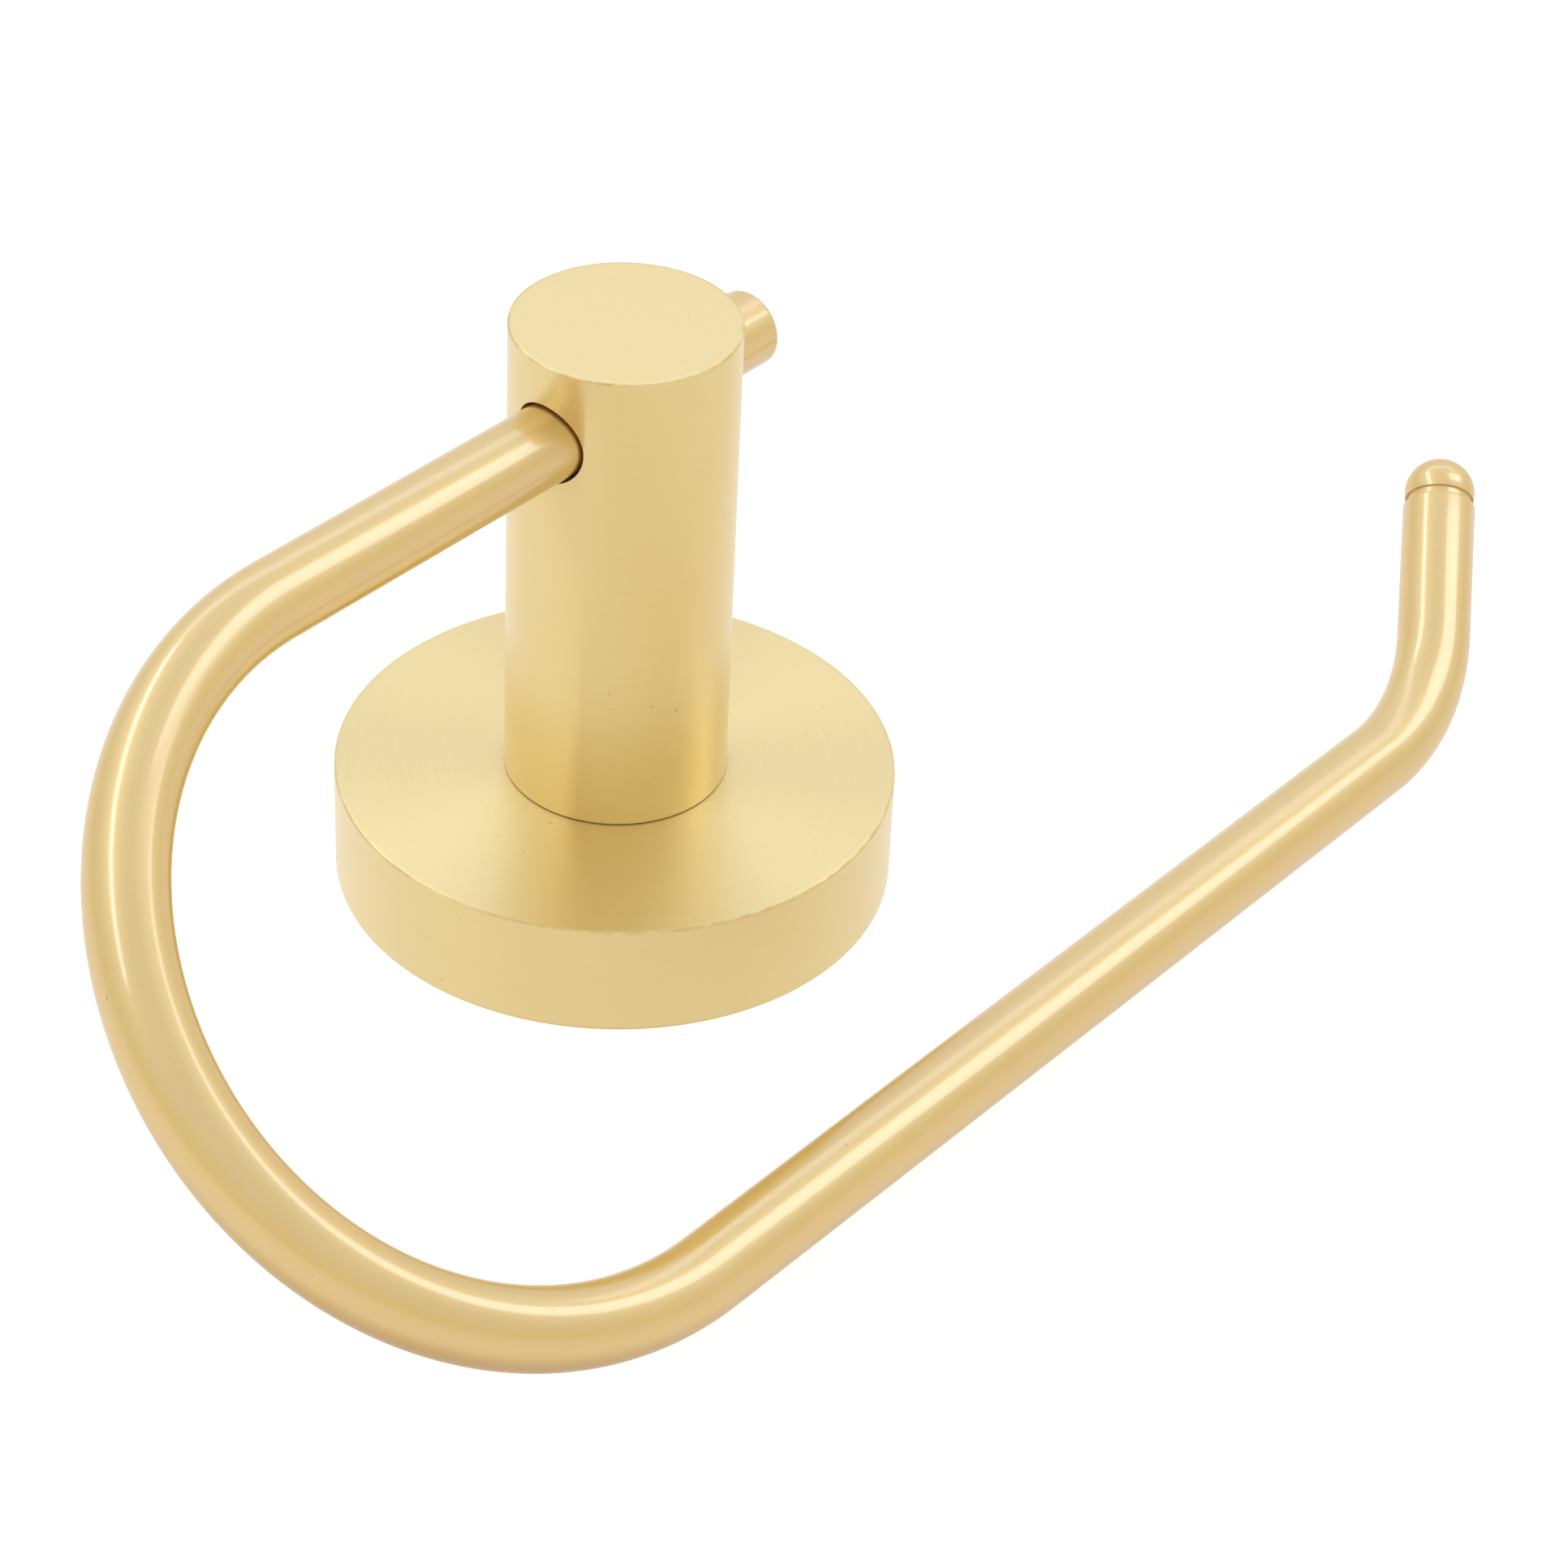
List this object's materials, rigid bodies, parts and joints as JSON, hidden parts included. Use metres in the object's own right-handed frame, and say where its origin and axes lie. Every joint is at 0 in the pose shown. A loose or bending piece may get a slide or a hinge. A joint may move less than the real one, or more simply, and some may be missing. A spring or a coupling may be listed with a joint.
{
  "type": "toilet paper holder",
  "caption": "Wall-mounted toilet paper holder: round rosette and post carrying one bent round rod with a ball tip that the roll hangs on.",
  "frame": {"origin": "centre of the rosette's and the bracket's back face, on the wall", "axes": "+Z out of the wall along the post; +X along the rod's straight part towards its short end and the open side of the hook; +Y towards the two grub screws, the underside in use"},
  "size_m": [0.1854, 0.0884, 0.0655],
  "materials": {
    "brushed_brass": "fine circumferential brushing, satin",
    "satin_brass_rod": "fine satin",
    "bracket_metal": "zinc-plated, dull",
    "screw_steel": "plain stainless steel"
  },
  "bodies": {
    "bracket": {"wall_bracket": "bracket_metal"},
    "holder": {"rosette": "brushed_brass", "post": "brushed_brass", "flat_washer": "screw_steel", "spring_washer": "screw_steel", "post_screw": "screw_steel"},
    "hook": {"hanger_rod": "satin_brass_rod", "ball_tip": "satin_brass_rod"},
    "rosette_screw": {"rosette_grub_screw": "screw_steel"},
    "rod_screw": {"rod_grub_screw": "screw_steel"}
  },
  "joints": [
    {"name": "holder_lift_off", "type": "slide", "parent": "bracket", "child": "holder", "axis": [0, 0, 1], "range_m": [0, 0.02]},
    {"name": "hook_swing", "type": "hinge", "parent": "holder", "child": "hook", "pos_m": [0, 0, 0.0568], "axis": [-1, 0, 0], "range_deg": [-2, 265]},
    {"name": "rosette_screw_out", "type": "slide", "parent": "holder", "child": "rosette_screw", "axis": [0, 1, 0], "range_m": [0, 0.003]},
    {"name": "rod_screw_out", "type": "slide", "parent": "holder", "child": "rod_screw", "axis": [0, 1, 0], "range_m": [0, 0.003]}
  ]
}
